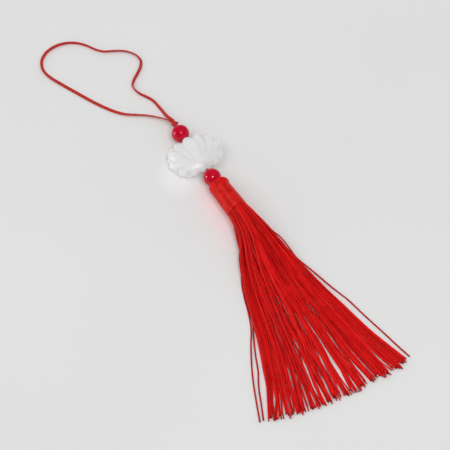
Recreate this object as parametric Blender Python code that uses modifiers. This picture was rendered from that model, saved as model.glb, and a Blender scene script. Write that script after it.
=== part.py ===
# A lotus charm on a red cord, laid flat: hanging loop, knot, two beads, carved lotus and silk tassel.
# Sizes are millimetres, turned into metres where the meshes are made. +Y runs from the tassel's tips to the
# loop, +Z is up, and every piece rests on z = 0. Places are counted from the lotus's centre.

import math
import random

import bmesh
import bpy
import numpy as np
from mathutils import Matrix, Vector

MM = 0.001

# The lotus's centre, counted from the middle of the laid-out charm and tassel.
LOTUS_X = 9.5
LOTUS_Y = 59.7

# The beads, their places along the cord, and the doubled cord that runs through them.
BEAD_RADIUS = 4.35
UPPER_BEAD_Y = 14.6
LOWER_BEAD_Y = -14.85
BEAD_HEIGHT = BEAD_RADIUS
BEAD_STEPS = 10
BORE_RADIUS = 1.08
THREAD_RADIUS = 0.75
THREAD_END = 19.1
CLEARANCE = 0.3

# The knot: a round core with two turns of cord crossing on it, each with its two tilts and its shift along the cord.
KNOT_X = 0.35
KNOT_Y = 20.7
KNOT_CORE = 1.15
KNOT_TURN_RADIUS = 0.95
KNOT_CORD_RADIUS = 0.55
KNOT_TURNS = ((0.22, 0.55, -0.35), (-0.24, -0.6, 0.35))

# The dome of folded strands, radius and height above the neck: its middle is dished round the bead's underside.
DOME = ((0.0, 17.85), (1.4, 18.05), (3.0, 18.85), (3.8, 18.65), (4.35, 17.85), (4.6, 16.7), (4.68, 15.5))

# The thread wound round the head, as heights above the neck and outer radii there.
BINDING_TOP = 14.7
BINDING_END = 0.3
BINDING_WALL = 0.4
BINDING_TOP_RADIUS = 4.75
BINDING_END_RADIUS = 5.4
BINDING_CHAMFER = 0.25
NECK_X = 0.4
NECK_Y = -37.4
HEAD_TURN = math.radians(1.05)
HEAD_SLOPE = math.atan((BINDING_END_RADIUS - BINDING_TOP_RADIUS) / (BINDING_TOP - BINDING_END))

# The strands: three-sided, set in rows over the neck's round face and spread into flat layers at the tips.
STRAND_RADIUS = 0.27
STRAND_LENGTH = 101.4
STRAND_ROOT = 1.3
STRAND_FLARE = 24.0
STRAND_PITCH = 0.62
ROOT_DISC = 4.35
TIP_LAYERS = 3
ROW_SHIFT = 0.382
CLUMP_SHIFT = 0.02
CLUMP_TURNS = 28.0
CLUMP_STEP = 0.9
WAVE_HEIGHT = 0.7
WAVE_RUN = 8.0
WAVE_STEP = 5.0
TIP_UNEVEN = 1.4
TIP_STEP = 1.7
TIP_CHANCE = (-1.2, 0.8)

# The fan of strands, a row for each distance from the neck: its body's two edges, how far the stray outermost
# strands stand off them, and how far each layer of strands has spread and sunk towards its place at the tips.
FAN_COLUMNS = ("reach", "left", "right", "left_stray", "right_stray", "spread", "sink_low", "sink_mid", "sink_high")
FAN = (
    (0.0, -3.95, 4.75, 0.0, 0.0, 0.0, 0.00, 0.00, 0.00),
    (4.0, -5.5, 6.5, 0.0, 0.0, 0.1, 0.09, 0.07, 0.05),
    (12.0, -7.2, 7.9, 0.0, 0.0, 0.25, 0.28, 0.23, 0.18),
    (24.0, -11.7, 10.2, 0.3, 0.4, 0.6, 0.60, 0.48, 0.40),
    (36.0, -17.3, 11.2, 0.6, 1.2, 0.8, 1.00, 0.68, 0.58),
    (50.0, -22.0, 12.9, 0.8, 2.8, 1.0, 1.00, 0.84, 0.74),
    (66.0, -27.2, 15.8, 2.4, 3.1, 1.0, 1.00, 0.95, 0.87),
    (84.0, -34.2, 18.9, 3.3, 3.3, 1.0, 1.00, 1.00, 0.96),
    (101.4, -42.8, 23.6, 3.2, 3.4, 1.0, 1.00, 1.00, 1.00),
)

# The lotus's petals, each narrower towards its tip, a row for each pair or single petal: its tip, its foot, its
# width, and the heights of its middle and its crown. First the upper petals, then the low ones that show between
# them, and last the small boss round the thread's hole at the lower bead.
PETAL_COLUMNS = ("tip_x", "tip_y", "foot_x", "foot_y", "width", "middle", "crown")
LEFT_SHARE = 0.95    # the left petals reach a little less far than the right ones
PETALS = (
    (0.0, 10.2, 0.0, -5.0, 9.4, 6.2, 8.5),
    (5.9, 10.4, 1.2, -6.0, 9.2, 4.3, 8.0),
    (11.6, 8.2, 2.0, -6.5, 9.0, 3.6, 7.2),
    (14.5, 2.2, 2.0, -3.5, 8.6, 2.8, 6.4),
    (12.5, -5.0, 1.0, -0.5, 8.6, 2.4, 6.0),
    (6.4, -8.9, 2.0, 1.0, 8.8, 2.9, 6.6),
    (4.8, 11.5, 2.4, 4.5, 6.2, 2.3, 4.4),
    (9.7, 10.0, 3.7, 3.7, 7.0, 2.3, 4.4),
    (13.6, 5.6, 5.4, 1.8, 7.0, 2.2, 4.2),
    (13.8, -1.6, 5.7, -0.9, 7.0, 2.0, 3.9),
    (10.2, -7.0, 4.1, -3.2, 7.0, 2.0, 3.9),
    (3.0, -8.9, 1.2, -3.7, 7.0, 2.2, 4.2),
    (0.0, -10.2, 0.0, -6.7, 5.4, 4.1, 6.5),
)
PETAL_TAPER = 0.2
# The body that the petals lie on: half its width, length and thickness, and its middle's height.
LOTUS_CORE = (11.6, 9.3, 3.9, 3.7)
CUTTER_SIZE = 40.0

# The loop's route from the knot round to the knot again, set by hand: x, y and the cord's height.
CORD_RADIUS = 0.5
LOOP_STATIONS = 74
LOOP_ROUTE = (
    (0.95, 22.45, 4.35), (0.6, 24.4, 3.9), (0.3, 26.8, 3.0), (0.25, 30.0, 1.8), (0.3, 33.6, 1.05),
    (0.1, 37.0, 0.8), (-0.4, 40.8, 0.8), (-2.0, 44.5, 0.8), (-3.7, 47.5, 0.8), (-4.65, 51.0, 0.8),
    (-4.4, 54.2, 0.8), (-2.0, 56.9, 0.8), (1.5, 59.5, 0.8), (4.8, 62.2, 0.8), (6.9, 65.6, 0.8),
    (6.7, 69.4, 0.8), (4.9, 73.0, 0.8), (2.0, 75.9, 0.8), (-2.0, 78.3, 0.8), (-6.6, 80.8, 0.8),
    (-9.6, 84.4, 0.8), (-12.5, 89.3, 0.8), (-16.4, 93.4, 0.8), (-21.5, 96.0, 0.8), (-27.0, 96.6, 0.8),
    (-32.3, 95.2, 0.8), (-36.4, 91.6, 0.8), (-38.1, 86.5, 0.8), (-37.3, 81.2, 0.7), (-34.6, 74.5, 0.6),
    (-30.5, 65.6, 0.56), (-26.1, 56.2, 0.56), (-21.3, 47.6, 0.56), (-16.6, 41.6, 0.6), (-11.6, 37.8, 0.75),
    (-7.9, 35.1, 0.9), (-4.9, 31.9, 1.4), (-2.6, 28.6, 2.3), (-1.0, 25.4, 3.5), (-0.25, 22.45, 4.35),
)


def clear_scene():
    for piece in list(bpy.data.objects):
        bpy.data.objects.remove(piece, do_unlink=True)


def new_collection(name):
    group = bpy.data.collections.new(name)
    bpy.context.scene.collection.children.link(group)
    return group


def new_material(name, color, roughness):
    material = bpy.data.materials.new(name)
    material.use_nodes = True
    shader = material.node_tree.nodes["Principled BSDF"]
    shader.inputs["Base Color"].default_value = (*color, 1.0)
    shader.inputs["Roughness"].default_value = roughness
    shader.inputs["Metallic"].default_value = 0.0
    return material


def add_piece(piece, group, base, material=None):
    for owner in list(piece.users_collection):
        owner.objects.unlink(piece)
    group.objects.link(piece)
    piece.parent = base
    if material:
        piece.data.materials.clear()
        piece.data.materials.append(material)
    else:
        piece.hide_render = True
        piece.display_type = "WIRE"
    return piece


def axis_frame(direction):
    # Turns local Z to the given direction and keeps local X level, so a turned piece has a point straight below.
    along = Vector(direction).normalized()
    level = Vector((along.y, -along.x, 0.0)).normalized()
    down = along.cross(level)
    return Matrix((level, down, along)).transposed()


def set_along(piece, place, direction):
    turn = axis_frame(direction).to_4x4()
    piece.matrix_local = Matrix.Translation(Vector(place) * MM) @ turn


def turned_piece(name, profile, steps, closed):
    # The profile's rows are radius and height, down the outer side.
    shape = bmesh.new()
    points = [shape.verts.new((radius * MM, 0.0, height * MM)) for radius, height in profile]
    for start, end in zip(points, points[1:]):
        shape.edges.new((start, end))
    if closed:
        shape.edges.new((points[-1], points[0]))
    mesh = bpy.data.meshes.new(name)
    shape.to_mesh(mesh)
    shape.free()
    piece = bpy.data.objects.new(name, mesh)
    bpy.context.scene.collection.objects.link(piece)
    turn = piece.modifiers.new("Turn", "SCREW")
    turn.axis = "Z"
    turn.angle = math.tau
    turn.steps = steps
    turn.render_steps = steps
    turn.use_merge_vertices = True
    turn.merge_threshold = 0.00002
    turn.use_smooth_shade = True
    return piece


def combine(piece, name, operation, cutter=None, group=None):
    cut = piece.modifiers.new(name, "BOOLEAN")
    cut.operation = operation
    cut.solver = "EXACT"
    if group:
        cut.operand_type = "COLLECTION"
        cut.collection = group
    else:
        cut.object = cutter
    return cut


def smooth_route(points, stations):
    # A curve through the route's points, read at even distances.
    route = np.array(points, dtype=float)
    before = np.vstack([2 * route[0] - route[1], route[:-1]])
    after = np.vstack([route[1:], 2 * route[-1] - route[-2]])
    slope = (after - before) / 2.0
    fine = []
    for start, end, leave, arrive in zip(route, route[1:], slope, slope[1:]):
        for t in np.linspace(0.0, 1.0, 16, endpoint=False):
            fine.append((2 * t**3 - 3 * t**2 + 1) * start + (t**3 - 2 * t**2 + t) * leave
                        + (3 * t**2 - 2 * t**3) * end + (t**3 - t**2) * arrive)
    fine = np.array(fine + [route[-1]])
    run = np.concatenate([[0.0], np.cumsum(np.linalg.norm(np.diff(fine, axis=0), axis=1))])
    at = np.linspace(0.0, run[-1], stations)
    return np.column_stack([np.interp(at, run, fine[:, k]) for k in range(3)])


def build_bead(name, place, group, base, material):
    rim = math.asin(BORE_RADIUS / BEAD_RADIUS)
    profile = []
    for step in range(BEAD_STEPS + 1):
        turn = rim + (math.pi - 2 * rim) * step / BEAD_STEPS
        profile.append((BEAD_RADIUS * math.sin(turn), BEAD_RADIUS * math.cos(turn)))
    bead = turned_piece(name, profile, 20, closed=True)
    set_along(bead, (0.0, place, BEAD_HEIGHT), (0.0, 1.0, 0.0))
    return add_piece(bead, group, base, material)


def egg(name, half_width, half_length, half_height, taper, segments, rings):
    # A long rounded form with its poles along local Y, narrower towards +Y where a taper is given.
    bpy.ops.mesh.primitive_uv_sphere_add(segments=segments, ring_count=rings, radius=1.0)
    piece = bpy.context.object
    piece.name = name
    for point in piece.data.vertices:
        side, height, along = point.co
        narrow = 1.0 - taper * max(along, 0.0) ** 2
        point.co = Vector((-side * half_width * narrow, along * half_length, height * half_height * narrow)) * MM
    piece.data.update()
    return piece


def build_lotus(group, cutters, base, material):
    petals = bpy.data.collections.new("petals")
    cutters.children.link(petals)
    for row in PETALS:
        size = dict(zip(PETAL_COLUMNS, row))
        for side in (1,) if size["tip_x"] == 0 else (-LEFT_SHARE, 1):
            tip = Vector((side * size["tip_x"], size["tip_y"]))
            foot = Vector((side * size["foot_x"], size["foot_y"]))
            half_height = size["crown"] - size["middle"]
            petal = egg("petal", size["width"] / 2, (tip - foot).length / 2, half_height, PETAL_TAPER, 12, 8)
            middle = (tip + foot) / 2
            petal.rotation_euler = (0.0, 0.0, math.atan2(tip.y - foot.y, tip.x - foot.x) - math.pi / 2)
            petal.location = Vector((middle.x, middle.y, size["middle"])) * MM
            add_piece(petal, petals, base)
    width, length, height, middle = LOTUS_CORE
    lotus = egg("lotus_charm", width, length, height, 0.0, 20, 12)
    lotus.location = (0.0, 0.0, middle * MM)
    add_piece(lotus, group, base, material)
    bpy.ops.mesh.primitive_cube_add(size=CUTTER_SIZE * MM)
    ground = bpy.context.object
    ground.name = "lotus_flat_back"
    ground.location = (0.0, 0.0, -CUTTER_SIZE / 2 * MM)
    add_piece(ground, cutters, base)
    bpy.ops.mesh.primitive_cylinder_add(vertices=16, radius=BORE_RADIUS * MM, depth=CUTTER_SIZE * MM)
    bore = bpy.context.object
    bore.name = "lotus_bore"
    set_along(bore, (0.0, 0.0, BEAD_HEIGHT), (0.0, 1.0, 0.0))
    add_piece(bore, cutters, base)
    combine(lotus, "Petals", "UNION", group=petals)
    combine(lotus, "Flat back", "DIFFERENCE", cutter=ground)
    combine(lotus, "Bore", "DIFFERENCE", cutter=bore)
    return lotus


def build_knot(group, cutters, base, material):
    # A round core with two crossing turns of the cord drawn tight about it.
    wraps = bpy.data.collections.new("knot_turns")
    cutters.children.link(wraps)
    middle = Vector((KNOT_X, KNOT_Y, BEAD_HEIGHT)) * MM
    for lean, tilt, shift in KNOT_TURNS:
        bpy.ops.mesh.primitive_torus_add(major_radius=KNOT_TURN_RADIUS * MM, minor_radius=KNOT_CORD_RADIUS * MM,
                                         major_segments=16, minor_segments=8)
        turn = bpy.context.object
        turn.name = "knot_turn"
        turn.rotation_euler = (math.pi / 2 + lean, tilt, 0.0)
        turn.location = middle + Vector((0.0, shift * MM, 0.0))
        add_piece(turn, wraps, base)
    core = egg("top_knot", KNOT_CORE, KNOT_CORE, KNOT_CORE, 0.0, 12, 8)
    core.location = middle
    add_piece(core, group, base, material)
    combine(core, "Turns", "UNION", group=wraps)
    return core


def build_thread(group, base, material):
    top = UPPER_BEAD_Y + BEAD_RADIUS
    bottom = -THREAD_END
    bpy.ops.mesh.primitive_cylinder_add(vertices=12, radius=THREAD_RADIUS * MM, depth=(top - bottom) * MM)
    thread = bpy.context.object
    thread.name = "threading_cord"
    set_along(thread, (0.0, (top + bottom) / 2, BEAD_HEIGHT), (0.0, 1.0, 0.0))
    return add_piece(thread, group, base, material)


def binding_radius(height):
    share = (height - BINDING_END) / (BINDING_TOP - BINDING_END)
    return BINDING_END_RADIUS + share * (BINDING_TOP_RADIUS - BINDING_END_RADIUS)


def head_place():
    # The neck's middle, and the way from it up to the head's top: the wound cone lies level on its underside.
    neck = Vector((NECK_X, NECK_Y, binding_radius(0.0) / math.cos(HEAD_SLOPE)))
    level = math.cos(HEAD_SLOPE)
    return neck, Vector((-math.sin(HEAD_TURN) * level, math.cos(HEAD_TURN) * level, -math.sin(HEAD_SLOPE)))


def build_binding(group, base, material):
    outer = [(binding_radius(BINDING_TOP) - BINDING_CHAMFER, BINDING_TOP)]
    outer += [(binding_radius(h), h) for h in (BINDING_TOP - BINDING_CHAMFER, BINDING_END + BINDING_CHAMFER)]
    outer += [(binding_radius(BINDING_END) - BINDING_CHAMFER, BINDING_END)]
    inner = [(binding_radius(h) - BINDING_WALL, h) for h in (BINDING_END, BINDING_TOP)]
    binding = turned_piece("neck_binding", outer + inner, 24, closed=True)
    set_along(binding, *head_place())
    return add_piece(binding, group, base, material)


def build_head():
    # The dome of folded strands, and below its shoulder the core that the binding is wound on.
    profile = list(DOME)
    core_inset = BINDING_WALL + CLEARANCE
    shoulder = BINDING_TOP + CLEARANCE
    profile.append((binding_radius(shoulder) - core_inset, shoulder))
    profile.append((binding_radius(0.0) - core_inset, 0.0))
    profile.append((0.0, 0.0))
    head = turned_piece("tassel", profile, 24, closed=False)
    set_along(head, *head_place())
    return head


def root_points():
    # Where the strands leave the neck: level rows across its round face, each row set a little aside.
    rows = int(2 * ROOT_DISC / STRAND_PITCH)
    roots = []
    for row in range(rows):
        height = (row - (rows - 1) / 2) * STRAND_PITCH
        half = math.sqrt(ROOT_DISC**2 - height**2)
        aside = (row * ROW_SHIFT) % 1.0
        layer = min(row * TIP_LAYERS // rows, TIP_LAYERS - 1)
        for column in range(-8, 9):
            across = (column + aside - 0.5) * STRAND_PITCH
            if abs(across) <= half:
                roots.append((across, height, layer))
    return roots


def strand_path(root, rank, count, length, neck):
    # Points from inside the neck to the tip. A strand's rank sets its place across its layer at the tips.
    across, height, layer = root
    tip_share = -1.0 + (2 * rank + 1) / count
    tip_height = STRAND_RADIUS / 2 + layer * STRAND_PITCH
    sink_name = ("sink_low", "sink_mid", "sink_high")[layer]
    points = [(neck.x + across, neck.y + STRAND_ROOT, neck.z + height)]
    for row in FAN:
        fan = dict(zip(FAN_COLUMNS, row))
        reach = fan["reach"] * length / STRAND_LENGTH
        spread = fan["spread"]
        share = (1 - spread) * across / ROOT_DISC + spread * tip_share
        share += CLUMP_SHIFT * spread * math.sin(CLUMP_TURNS * share + CLUMP_STEP * layer)
        x = (fan["left"] + fan["right"]) / 2 + share * (fan["right"] - fan["left"]) / 2
        x += WAVE_HEIGHT * spread * math.sin(reach / WAVE_RUN + WAVE_STEP * share)
        if layer == 0 and rank == 0:
            x -= fan["left_stray"]
        if layer == 0 and rank == count - 1:
            x += fan["right_stray"]
        aside = (x - neck.x) * min(reach / STRAND_FLARE, 1.0)
        y = neck.y - math.sqrt(reach**2 - min(aside**2, reach**2))
        z = neck.z + height + fan[sink_name] * (tip_height - neck.z - height)
        points.append((x, y, z))
    return points


def strand_section():
    # A small triangle whose flat side is down.
    triangle = bpy.data.curves.new("strand_section", "CURVE")
    triangle.dimensions = "2D"
    section = triangle.splines.new("POLY")
    section.points.add(2)
    section.use_cyclic_u = True
    for point, turn in zip(section.points, (90, 210, 330)):
        spot = Vector((math.cos(math.radians(turn)), math.sin(math.radians(turn)), 0.0))
        point.co = (*(spot * STRAND_RADIUS * MM), 1.0)
    profile = bpy.data.objects.new("strand_section", triangle)
    bpy.context.scene.collection.objects.link(profile)
    return profile


def strand_splines(neck):
    chance = random.Random(7)
    roots = root_points()
    bundle = bpy.data.curves.new("strand_sweep", "CURVE")
    bundle.dimensions = "3D"
    bundle.twist_mode = "Z_UP"
    for layer in range(TIP_LAYERS):
        row = sorted(root for root in roots if root[2] == layer)
        for rank, root in enumerate(row):
            length = STRAND_LENGTH + TIP_UNEVEN * math.sin(TIP_STEP * rank) + chance.uniform(*TIP_CHANCE)
            path = strand_path(root, rank, len(row), length, neck)
            spline = bundle.splines.new("POLY")
            spline.points.add(len(path) - 1)
            for point, place in zip(spline.points, path):
                point.co = (*(Vector(place) * MM), 1.0)
    swept = bpy.data.objects.new("strand_sweep", bundle)
    bpy.context.scene.collection.objects.link(swept)
    return swept


def build_strands(neck):
    # Every strand is a spline, swept with the triangle and closed at both ends.
    profile = strand_section()
    swept = strand_splines(neck)
    swept.data.bevel_mode = "OBJECT"
    swept.data.bevel_object = profile
    swept.data.use_fill_caps = True
    bpy.context.view_layer.update()
    view = bpy.context.evaluated_depsgraph_get()
    mesh = bpy.data.meshes.new_from_object(swept.evaluated_get(view))
    strands = bpy.data.objects.new("strands", mesh)
    bpy.context.scene.collection.objects.link(strands)
    shape = bmesh.new()
    shape.from_mesh(mesh)
    bmesh.ops.remove_doubles(shape, verts=shape.verts, dist=0.000002)
    bmesh.ops.recalc_face_normals(shape, faces=shape.faces)
    shape.to_mesh(mesh)
    shape.free()
    bpy.data.objects.remove(swept, do_unlink=True)
    bpy.data.objects.remove(profile, do_unlink=True)
    return strands


def build_tassel(group, cutters, base, material):
    head = build_head()
    add_piece(head, group, base, material)
    neck, _ = head_place()
    strands = build_strands(neck)
    add_piece(strands, cutters, base)
    combine(head, "Strands", "UNION", cutter=strands)
    return head


def build_loop(group, base, material):
    route = smooth_route(LOOP_ROUTE, LOOP_STATIONS)
    curve = bpy.data.curves.new("hanging_loop", "CURVE")
    curve.dimensions = "3D"
    curve.bevel_depth = CORD_RADIUS * MM
    curve.bevel_resolution = 2
    curve.use_fill_caps = True
    spline = curve.splines.new("POLY")
    spline.points.add(len(route) - 1)
    for point, place in zip(spline.points, route):
        point.co = (*(place * MM), 1.0)
    loop = bpy.data.objects.new("hanging_loop", curve)
    bpy.context.scene.collection.objects.link(loop)
    return add_piece(loop, group, base, material)


def build_all():
    clear_scene()
    parts = new_collection("lotus_tassel_hanging")
    cutters = new_collection("cutters")
    base = bpy.data.objects.new("lotus_centre", None)
    base.location = Vector((LOTUS_X, LOTUS_Y, 0.0)) * MM
    parts.objects.link(base)
    cord_red = new_material("cord_red", (0.46, 0.03, 0.03), 0.6)
    bead_red = new_material("bead_red", (0.5, 0.0, 0.03), 0.12)
    milky = new_material("milky_stone", (0.8, 0.82, 0.81), 0.15)
    silk_red = new_material("silk_red", (0.62, 0.01, 0.01), 0.4)
    binding_red = new_material("binding_red", (0.65, 0.012, 0.01), 0.4)
    build_loop(parts, base, cord_red)
    build_knot(parts, cutters, base, cord_red.copy())
    build_bead("upper_bead", UPPER_BEAD_Y, parts, base, bead_red)
    build_lotus(parts, cutters, base, milky)
    build_bead("lower_bead", LOWER_BEAD_Y, parts, base, bead_red.copy())
    build_thread(parts, base, cord_red.copy())
    build_tassel(parts, cutters, base, silk_red)
    build_binding(parts, base, binding_red)


build_all()
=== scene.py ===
import math

import bpy
import numpy as np
from mathutils import Matrix, Vector


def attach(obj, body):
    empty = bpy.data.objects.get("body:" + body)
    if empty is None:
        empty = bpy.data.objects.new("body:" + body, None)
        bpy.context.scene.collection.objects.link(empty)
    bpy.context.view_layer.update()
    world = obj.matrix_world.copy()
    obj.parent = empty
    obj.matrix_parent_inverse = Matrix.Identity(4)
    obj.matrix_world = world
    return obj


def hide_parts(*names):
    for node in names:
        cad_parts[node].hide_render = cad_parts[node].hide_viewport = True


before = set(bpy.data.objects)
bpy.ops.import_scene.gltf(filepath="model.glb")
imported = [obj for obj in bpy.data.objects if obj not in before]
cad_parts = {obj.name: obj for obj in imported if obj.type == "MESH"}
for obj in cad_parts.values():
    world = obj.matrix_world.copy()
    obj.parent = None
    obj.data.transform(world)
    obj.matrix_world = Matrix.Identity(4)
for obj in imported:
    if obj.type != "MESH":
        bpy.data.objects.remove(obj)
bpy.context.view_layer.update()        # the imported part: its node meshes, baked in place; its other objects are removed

mm = 0.001
fullTurn = 2 * math.pi
quarterTurn = math.radians(90)
white = (1.0, 1.0, 1.0)
# the charm's middle in the part, in mm: all places below count from it
charmPlace = Vector((9.5, 59.7, 0.0))
# height of the beads' middles and of the thread through the charm, in mm
beadMiddle = 4.35


# small helpers

def place(x, y, z=0.0):
    return (Vector((x, y, z)) + charmPlace) * mm


def pick(piece):
    bpy.ops.object.select_all(action="DESELECT")
    piece.select_set(True)
    bpy.context.view_layer.objects.active = piece


def joinPieces(pieces):
    pick(pieces[0])
    for piece in pieces:
        piece.select_set(True)
    bpy.ops.object.join()
    return bpy.context.object


def applyModifier(piece, kind, **settings):
    pick(piece)
    modifier = piece.modifiers.new(kind.title(), kind)
    for key, value in settings.items():
        setattr(modifier, key, value)
    bpy.ops.object.modifier_apply(modifier=modifier.name)


def settle(piece):
    pick(piece)
    bpy.ops.object.transform_apply(location=True, rotation=True, scale=True)
    bpy.ops.object.shade_smooth()


def finishPiece(piece, name, material, slotName, *nodes):
    settle(piece)
    piece.name = name
    piece.data.name = name
    piece.data.materials.clear()
    piece.data.materials.append(material)
    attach(piece, "root")
    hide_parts(*nodes)
    print("made", name, len(piece.data.polygons), "faces")


def runAlong(route):
    # The length of the route up to each of its points.
    return np.concatenate([[0.0], np.cumsum(np.linalg.norm(np.diff(route, axis=0), axis=1))])


def smoothRoute(points, count, between=16):
    # A curve through the points, read at even distances.
    route = np.array(points, dtype=float)
    before = np.vstack([2 * route[0] - route[1], route[:-1]])
    after = np.vstack([route[1:], 2 * route[-1] - route[-2]])
    slope = (after - before) / 2.0
    fine = []
    for start, end, leave, arrive in zip(route, route[1:], slope, slope[1:]):
        for t in np.linspace(0.0, 1.0, between, endpoint=False):
            fine.append((2 * t**3 - 3 * t**2 + 1) * start + (t**3 - 2 * t**2 + t) * leave
                        + (3 * t**2 - 2 * t**3) * end + (t**3 - t**2) * arrive)
    fine = np.array(fine + [route[-1]])
    run = runAlong(fine)
    at = np.linspace(0.0, run[-1], count)
    return np.column_stack([np.interp(at, run, fine[:, k]) for k in range(3)])


def sweptTubes(name, paths, radius, tones=(0.5,), radii=None, resolution=1):
    # Round thread along each path, in mm counted from the charm. Every thread keeps a tone of its own.
    curve = bpy.data.curves.new(name, "CURVE")
    curve.dimensions = "3D"
    curve.bevel_depth = radius * mm
    curve.bevel_resolution = resolution
    for index, path in enumerate(paths):
        spline = curve.splines.new("POLY")
        spline.points.add(len(path) - 1)
        points = (np.asarray(path, dtype=float) + np.array(charmPlace)) * mm
        spline.points.foreach_set("co", np.column_stack([points, np.ones(len(path))]).ravel())
        if radii is not None:
            spline.points.foreach_set("radius", np.asarray(radii[index], dtype=float))
    tube = bpy.data.objects.new(name, curve)
    bpy.context.scene.collection.objects.link(tube)
    pick(tube)
    bpy.ops.object.convert(target="MESH")
    tube = bpy.context.object
    sides = 4 + 2 * resolution
    shade = np.repeat(np.asarray(tones, dtype=np.float32), [len(path) * sides for path in paths])
    tube.data.attributes.new("tone", "FLOAT", "POINT").data.foreach_set("value", shade)
    bpy.ops.object.mode_set(mode="EDIT")
    bpy.ops.mesh.select_all(action="SELECT")
    bpy.ops.mesh.fill_holes(sides=0)
    bpy.ops.mesh.normals_make_consistent(inside=False)
    bpy.ops.object.mode_set(mode="OBJECT")
    return tube


# materials

def newMaterial(name, **sockets):
    material = bpy.data.materials.new(name)
    material.use_nodes = True
    shader = material.node_tree.nodes["Principled BSDF"]
    for key, value in sockets.items():
        shader.inputs[key.replace("_", " ")].default_value = value
    return material, material.node_tree, shader


def addNode(tree, kind, **values):
    node = tree.nodes.new("ShaderNode" + kind)
    for key, value in values.items():
        if hasattr(node, key):
            setattr(node, key, value)
        else:
            node.inputs[key.replace("_", " ")].default_value = value
    return node


def addNoise(tree, scale, detail, distortion=0.0):
    # Noise that is fixed to the piece.
    coordinate = addNode(tree, "TexCoord")
    noise = addNode(tree, "TexNoise", Scale=scale, Detail=detail, Distortion=distortion)
    tree.links.new(coordinate.outputs["Object"], noise.inputs["Vector"])
    return noise.outputs["Fac"]


def addRamp(tree, source, stops):
    ramp = addNode(tree, "ValToRGB")
    elements = ramp.color_ramp.elements
    while len(elements) < len(stops):
        elements.new(0.5)
    for element, (spot, color) in zip(elements, stops):
        element.position = spot
        element.color = (*color, 1.0)
    tree.links.new(source, ramp.inputs["Fac"])
    return ramp.outputs["Color"]


def addMath(tree, operation, first, second=None):
    node = addNode(tree, "Math", operation=operation)
    for socket, value in zip(node.inputs, (first, second)):
        if isinstance(value, (int, float)):
            socket.default_value = value
        elif value is not None:
            tree.links.new(value, socket)
    return node.outputs[0]


def addProduct(tree, first, second):
    # Two colours multiplied. The node has sockets for other kinds of value too, so only colours are taken.
    product = addNode(tree, "Mix", data_type="RGBA", blend_type="MULTIPLY", Factor=1.0)
    colorInputs = [socket for socket in product.inputs if socket.type == "RGBA"]
    for source, socket in zip((first, second), colorInputs):
        tree.links.new(source, socket)
    return next(socket for socket in product.outputs if socket.type == "RGBA")


def addBump(tree, shader, height, strength, distance):
    bump = addNode(tree, "Bump", Strength=strength, Distance=distance)
    tree.links.new(height, bump.inputs["Height"])
    tree.links.new(bump.outputs["Normal"], shader.inputs["Normal"])


threadFinish = {
    # how a thread's own tone and the slow patches share in its colour
    "toneShare": 0.6, "patchShare": 0.4, "patchDetail": 3.0,
    # the painted shade and the bump in the grooves between plies, the cut ends, and how far the roughness goes
    # below and above its middle
    "grooveShadeColor": (0.75, 0.6, 0.6), "grooveShadeShare": 0.4, "grooveBump": 0.6,
    "endColor": (0.5, 0.6, 0.6), "smoother": 0.08, "rougher": 0.1,
}


def silkMaterial(name, look):
    # Twisted shiny thread: each thread's own tone, slow colour change along it, and slanting plies, with shade
    # painted into the grooves between them.
    finish = threadFinish
    tint = look["shineTint"]
    material, tree, shader = newMaterial(
        name, Specular_IOR_Level=look["shine"], Specular_Tint=(1.0, tint, tint * 0.8, 1.0))
    links = tree.links
    patches = addNoise(tree, look["patchScale"], finish["patchDetail"])
    tone = addNode(tree, "Attribute", attribute_name="tone").outputs["Fac"]
    mixed = addMath(tree, "ADD", addMath(tree, "MULTIPLY", tone, finish["toneShare"]),
                    addMath(tree, "MULTIPLY", patches, finish["patchShare"]))
    colors = addRamp(tree, mixed, look["colors"])
    split = addNode(tree, "SeparateXYZ")
    links.new(addNode(tree, "TexCoord").outputs["UV"], split.inputs["Vector"])
    along, around = split.outputs["X"], split.outputs["Y"]
    slant = addMath(tree, "ADD", addMath(tree, "MULTIPLY", along, look["pliesAlong"]),
                    addMath(tree, "MULTIPLY", around, look["pliesRound"]))
    ply = addMath(tree, "ABSOLUTE", addMath(tree, "SINE", addMath(tree, "MULTIPLY", slant, math.pi)))
    if look.get("darkEnds"):
        ends = addRamp(tree, along, ((1.0 - look["darkEnds"], white), (1.0, finish["endColor"])))
        colors = addProduct(tree, colors, ends)
    # painted shade: the colour darkens in the grooves between plies
    plyShade = addRamp(tree, ply, ((0.0, finish["grooveShadeColor"]), (finish["grooveShadeShare"], white)))
    links.new(addProduct(tree, colors, plyShade), shader.inputs["Base Color"])
    rough = addNode(tree, "MapRange", To_Min=look["rough"] - finish["smoother"],
                    To_Max=look["rough"] + finish["rougher"])
    links.new(patches, rough.inputs["Value"])
    links.new(rough.outputs["Result"], shader.inputs["Roughness"])
    addBump(tree, shader, ply, finish["grooveBump"], look["plyDepth"])
    return material


# camera, lights and floor

viewLook = {
    "target": (2.1632, 21.5686, 0.0),     # mm in the part: the point in the middle of the picture
    "ahead": (0.53048, 0.84770),          # level direction of view
    "rise": 61.0,                         # degrees above the floor
    "distance": 544.7,                    # mm
    "opening": 22.0,                      # degrees across the picture
    "sensor": 36.0,                       # mm
    "nearest": 0.01,                      # m
}
viewTarget = Vector(viewLook["target"]) * mm


def fromCamera(right, ahead, up):
    # A direction given as the viewer sees it, turned into the part's frame.
    aheadX, aheadY = viewLook["ahead"]
    return Vector((right * aheadY + ahead * aheadX, -right * aheadX + ahead * aheadY, up)).normalized()


def towardCamera():
    rise = math.radians(viewLook["rise"])
    return fromCamera(0.0, -math.cos(rise), math.sin(rise))


def standAndFace(thing, spot, toward):
    # Stands a camera or lamp at the spot, facing against the direction that it stands in.
    bpy.context.scene.collection.objects.link(thing)
    thing.location = spot
    thing.rotation_euler = (-toward).to_track_quat("-Z", "Y").to_euler()


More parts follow.
